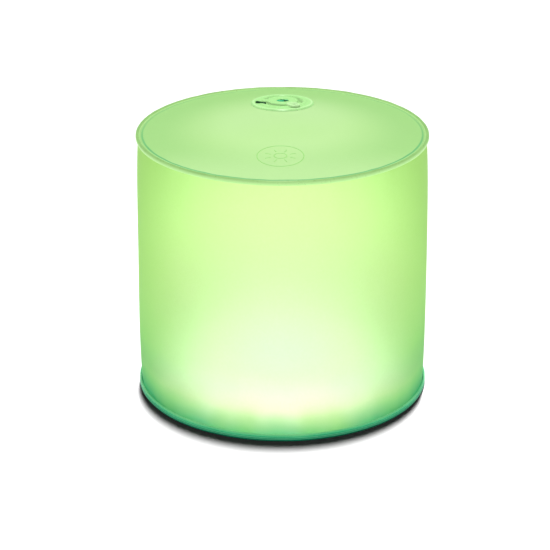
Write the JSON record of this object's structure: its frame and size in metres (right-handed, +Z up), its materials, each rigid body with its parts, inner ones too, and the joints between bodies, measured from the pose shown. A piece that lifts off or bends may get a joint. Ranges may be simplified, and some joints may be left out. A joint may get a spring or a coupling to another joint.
{
  "type": "camping lantern",
  "caption": "Inflatable solar lantern: a frosted film drum with an air valve in its top and a flat light module in its base.",
  "frame": {"origin": "on the ground, at the centre of the drum's base rim", "axes": "+Z up along the drum's axis; the air valve is at +Y on the top and the buttons at -Y under the base; +X to the right when the valve is at the back"},
  "size_m": [0.127, 0.127, 0.12],
  "materials": {
    "frosted_film": "satin",
    "clear_film": "gloss",
    "valve_vinyl": "gloss",
    "white_plastic": "satin",
    "mirror_foil": "gloss",
    "circuit_board": "satin",
    "led": "gloss",
    "battery_foil": "satin",
    "foam": "matte",
    "solar_cell": "gloss",
    "panel_board": "matte",
    "panel_cover": "gloss",
    "button_rubber": "matte",
    "black_plastic": "matte",
    "switch_metal": "satin",
    "indicator_lens": "gloss",
    "screw_steel": "satin",
    "red_wire": "satin",
    "black_wire": "satin"
  },
  "bodies": {
    "base": {"side_wall": "frosted_film", "base_film": "clear_film", "module_film": "clear_film", "module_tray": "white_plastic", "module_lid": "white_plastic", "reflector_sheet": "mirror_foil", "circuit_board": "circuit_board", "controller_chip": "black_plastic", "solar_substrate": "panel_board", "solar_cover": "panel_cover", "battery": "battery_foil", "battery_pad": "foam", "battery_connector": "white_plastic", "battery_lead_positive": "red_wire", "battery_lead_negative": "black_wire", "solar_lead_positive": "red_wire", "solar_lead_negative": "black_wire", "power_switch": "switch_metal", "level_switch": "switch_metal", "led_01": "led", "solar_cell_01": "solar_cell", "led_02": "led", "solar_cell_02": "solar_cell", "led_03": "led", "solar_cell_03": "solar_cell", "led_04": "led", "solar_cell_04": "solar_cell", "led_05": "led", "solar_cell_05": "solar_cell", "led_06": "led", "solar_cell_06": "solar_cell", "led_07": "led", "solar_cell_07": "solar_cell", "led_08": "led", "solar_cell_08": "solar_cell", "led_09": "led", "solar_cell_09": "solar_cell", "led_10": "led", "solar_cell_10": "solar_cell", "level_lens_1": "indicator_lens", "level_lens_2": "indicator_lens", "level_lens_3": "indicator_lens", "module_screw_1": "screw_steel", "module_screw_2": "screw_steel", "module_screw_3": "screw_steel", "module_screw_4": "screw_steel"},
    "top": {"top_film": "frosted_film", "valve_flange": "valve_vinyl", "valve_diaphragm": "valve_vinyl"},
    "stem": {"valve_stem": "valve_vinyl"},
    "plug": {"valve_plug": "valve_vinyl"},
    "flap": {"valve_flap": "valve_vinyl"},
    "power_push": {"power_button": "button_rubber", "power_plunger": "black_plastic"},
    "level_push": {"level_button": "button_rubber", "level_plunger": "black_plastic"}
  },
  "joints": [
    {"name": "collapse", "type": "slide", "parent": "base", "child": "top", "axis": [0, 0, 1], "range_m": [-0.09, 0], "deforming": ["side_wall"]},
    {"name": "valve_extend", "type": "slide", "parent": "top", "child": "stem", "axis": [0, 0.0574, 0.9984], "range_m": [0, 0.0046], "deforming": ["valve_diaphragm"]},
    {"name": "plug_open", "type": "hinge", "parent": "stem", "child": "plug", "pos_m": [-0.0082, 0.03307, 0.11875], "axis": [0, -0.9984, 0.0574], "range_deg": [0, 150]},
    {"name": "flap_open", "type": "hinge", "parent": "stem", "child": "flap", "pos_m": [-0.0053, 0.03259, 0.11046], "axis": [0, 0.9984, -0.0574], "range_deg": [0, 35], "stiffness_Nm_per_rad": 0.0002, "springref_deg": -5.73},
    {"name": "power_press", "type": "slide", "parent": "base", "child": "power_push", "axis": [0, 0, 1], "range_m": [0, 0.0007], "stiffness_N_per_m": 1200, "springref_m": -0.0003},
    {"name": "level_press", "type": "slide", "parent": "base", "child": "level_push", "axis": [0, 0, 1], "range_m": [0, 0.0007], "stiffness_N_per_m": 1200, "springref_m": -0.0003}
  ]
}
